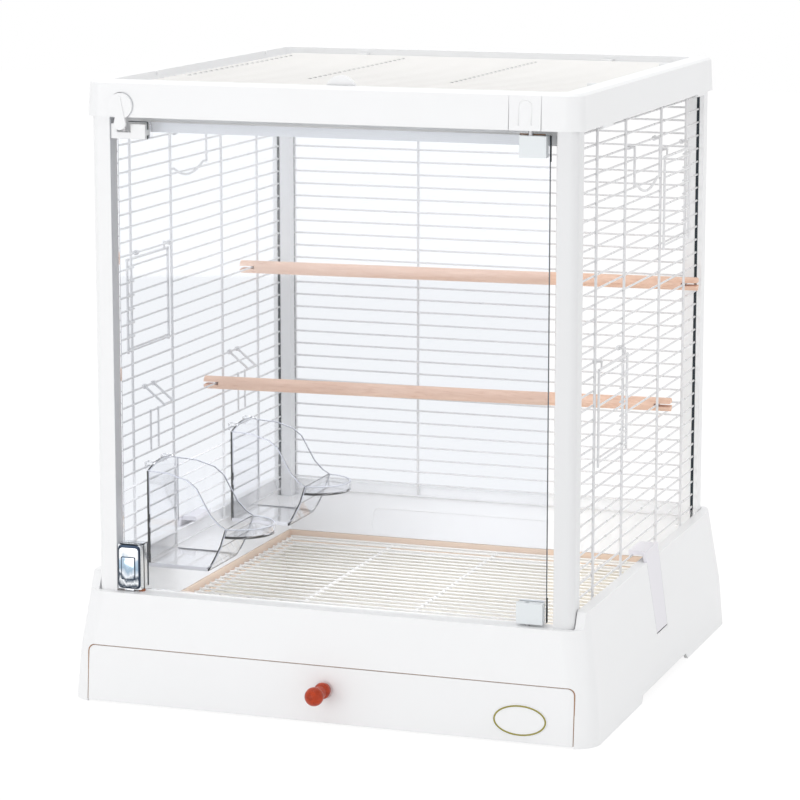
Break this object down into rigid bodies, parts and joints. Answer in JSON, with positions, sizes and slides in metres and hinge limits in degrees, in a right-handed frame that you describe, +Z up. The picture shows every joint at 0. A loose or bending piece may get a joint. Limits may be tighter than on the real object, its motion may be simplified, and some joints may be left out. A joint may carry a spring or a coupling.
{
  "type": "bird cage",
  "caption": "Rectangular bird cage with moulded base and pull-out tray, wire walls, clear hinged front door, lift-up wire roof, perches and hooked seed cups.",
  "frame": {"origin": "on the floor under the middle of the whole cage's box, with the drawer knob at the front", "axes": "+Z up, +X to the right seen from the front, -Y out of the front door"},
  "size_m": [0.47, 0.49, 0.5412],
  "materials": {
    "white_plastic": "satin moulded plastic",
    "tan_plastic": "fine satin moulded plastic",
    "cream_plastic": "fine satin moulded plastic",
    "clear_plastic": "clear polished plastic",
    "coated_wire": "white epoxy coated steel wire",
    "beech_wood": "planed, unvarnished",
    "red_wood": "turned and varnished",
    "chrome": "bright plated",
    "steel": "plain pin and screw steel",
    "brown_rubber": "soft buffer"
  },
  "bodies": {
    "cage": {"base_shell": "white_plastic", "floor_surround": "tan_plastic", "floor_grid": "coated_wire", "post_front_left": "white_plastic", "post_front_right": "white_plastic", "post_rear_left": "white_plastic", "post_rear_right": "white_plastic", "wire_wall_left": "coated_wire", "wire_wall_right": "coated_wire", "wire_wall_rear": "coated_wire", "lid_frame": "white_plastic", "upper_perch": "beech_wood", "lower_perch": "beech_wood", "door_pins": "steel", "clip_pins": "steel", "roof_hinge_clips": "white_plastic", "latch_buffers": "brown_rubber"},
    "drawer": {"drawer_front": "white_plastic", "drawer_tray": "cream_plastic", "drawer_knob": "red_wood", "drawer_knob_screw": "steel", "drawer_badge": "tan_plastic"},
    "front_door": {"door_pane": "clear_plastic", "door_hinge_upper": "white_plastic", "door_hinge_lower": "white_plastic", "door_keeper": "white_plastic", "door_latch": "chrome"},
    "lock": {"lock_knob": "white_plastic"},
    "roof": {"roof_grid": "coated_wire", "roof_tab": "white_plastic"},
    "left_wire_door": {"wire_door_left": "coated_wire"},
    "right_upper_wire_door": {"wire_door_right_upper": "coated_wire"},
    "right_lower_wire_door": {"wire_door_right_lower": "coated_wire"},
    "left_bail": {"bail_left": "coated_wire"},
    "right_bail": {"bail_right": "coated_wire"},
    "front_guard": {"guard_front": "coated_wire"},
    "rear_guard": {"guard_rear": "coated_wire"},
    "front_cup": {"seed_cup_front": "clear_plastic"},
    "rear_cup": {"seed_cup_rear": "clear_plastic"},
    "left_clip": {"side_clip_left": "white_plastic"},
    "right_clip": {"side_clip_right": "white_plastic"}
  },
  "joints": [
    {"name": "drawer_slide", "type": "slide", "parent": "cage", "child": "drawer", "axis": [0, -1, 0], "range_m": [0, 0.36]},
    {"name": "front_door_hinge", "type": "hinge", "parent": "cage", "child": "front_door", "pos_m": [0.172, -0.1962, 0.3], "axis": [0, 0, 1], "range_deg": [0, 110]},
    {"name": "lock_turn", "type": "hinge", "parent": "cage", "child": "lock", "pos_m": [-0.1824, -0.204, 0.5125], "axis": [0, -1, 0], "range_deg": [0, 90]},
    {"name": "roof_lift", "type": "hinge", "parent": "cage", "child": "roof", "pos_m": [0, 0.209, 0.5258], "axis": [-1, 0, 0], "range_deg": [0, 100]},
    {"name": "left_wire_door_hinge", "type": "hinge", "parent": "cage", "child": "left_wire_door", "pos_m": [-0.2065, -0.0865, 0.378], "axis": [0, 1, 0], "range_deg": [0, 90]},
    {"name": "right_upper_wire_door_hinge", "type": "hinge", "parent": "cage", "child": "right_upper_wire_door", "pos_m": [0.2065, 0.1165, 0.462], "axis": [0, -1, 0], "range_deg": [0, 90]},
    {"name": "right_lower_wire_door_hinge", "type": "hinge", "parent": "cage", "child": "right_lower_wire_door", "pos_m": [0.2065, -0.0865, 0.306], "axis": [0, -1, 0], "range_deg": [0, 90]},
    {"name": "left_bail_hinge", "type": "hinge", "parent": "cage", "child": "left_bail", "pos_m": [-0.2065, 0.005, 0.474], "axis": [0, 1, 0], "range_deg": [0, 120]},
    {"name": "right_bail_hinge", "type": "hinge", "parent": "cage", "child": "right_bail", "pos_m": [0.2065, 0.016, 0.474], "axis": [0, -1, 0], "range_deg": [0, 120]},
    {"name": "front_guard_hinge", "type": "hinge", "parent": "cage", "child": "front_guard", "pos_m": [-0.2065, -0.099, 0.258], "axis": [0, -1, 0], "range_deg": [0, 40]},
    {"name": "rear_guard_hinge", "type": "hinge", "parent": "cage", "child": "rear_guard", "pos_m": [-0.2065, 0.0945, 0.258], "axis": [0, -1, 0], "range_deg": [0, 40]},
    {"name": "front_cup_lift", "type": "slide", "parent": "cage", "child": "front_cup", "axis": [0, 0, 1], "range_m": [0, 0.006]},
    {"name": "rear_cup_lift", "type": "slide", "parent": "cage", "child": "rear_cup", "axis": [0, 0, 1], "range_m": [0, 0.006]},
    {"name": "left_clip_hinge", "type": "hinge", "parent": "cage", "child": "left_clip", "pos_m": [-0.22648, 0.015, 0.052], "axis": [0, -1, 0], "range_deg": [0, 40]},
    {"name": "right_clip_hinge", "type": "hinge", "parent": "cage", "child": "right_clip", "pos_m": [0.22648, 0.015, 0.052], "axis": [0, 1, 0], "range_deg": [0, 40]}
  ]
}
